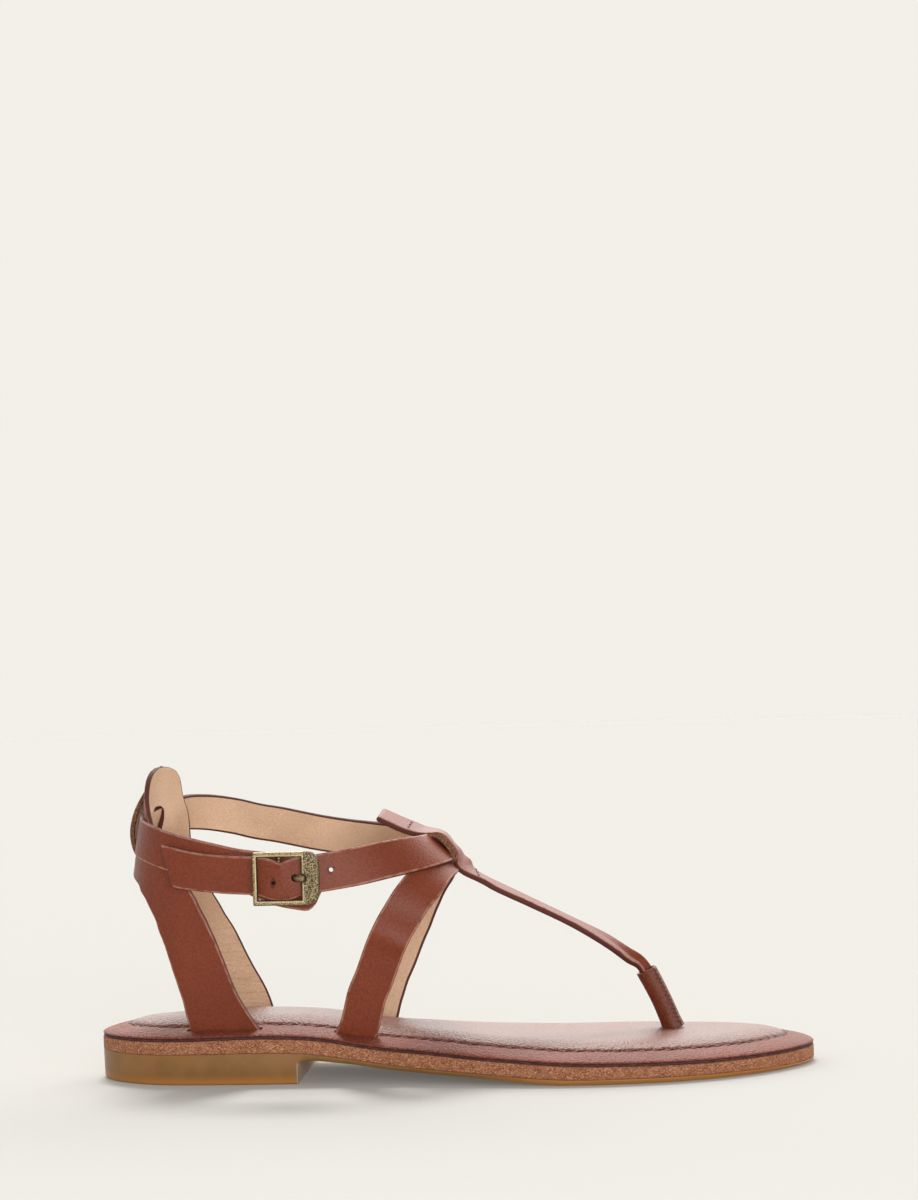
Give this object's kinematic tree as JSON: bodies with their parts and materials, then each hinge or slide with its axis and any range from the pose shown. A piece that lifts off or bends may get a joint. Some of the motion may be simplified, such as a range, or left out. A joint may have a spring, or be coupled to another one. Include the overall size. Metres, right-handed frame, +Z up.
{
  "type": "sandal",
  "caption": "Flat leather T-strap sandal for the right foot: toe post, heel piece and ankle strap with a buckle over a padded footbed and a gum sole with a low heel.",
  "frame": {"origin": "on the floor, under the middle of the sole's box", "axes": "+X from heel to toe, +Y to the inner side of the foot, +Z up"},
  "size_m": [0.252, 0.0854, 0.1094],
  "materials": {
    "gum": "smooth gum rubber, satin",
    "fibre_board": "speckled bonded leather board, matte",
    "dark_welt": "dark edge, matte",
    "footbed_leather": "smooth padded leather, satin",
    "strap_leather": "smooth reddish-brown leather, fine grain, satin",
    "antique_brass": "antiqued and pitted"
  },
  "bodies": {
    "root": {"outsole": "gum", "midsole": "fibre_board", "welt": "dark_welt", "insole": "footbed_leather", "upper": "strap_leather", "toe_post_sleeve": "strap_leather", "buckle_frame": "antique_brass", "buckle_prong": "antique_brass"}
  },
  "joints": []
}
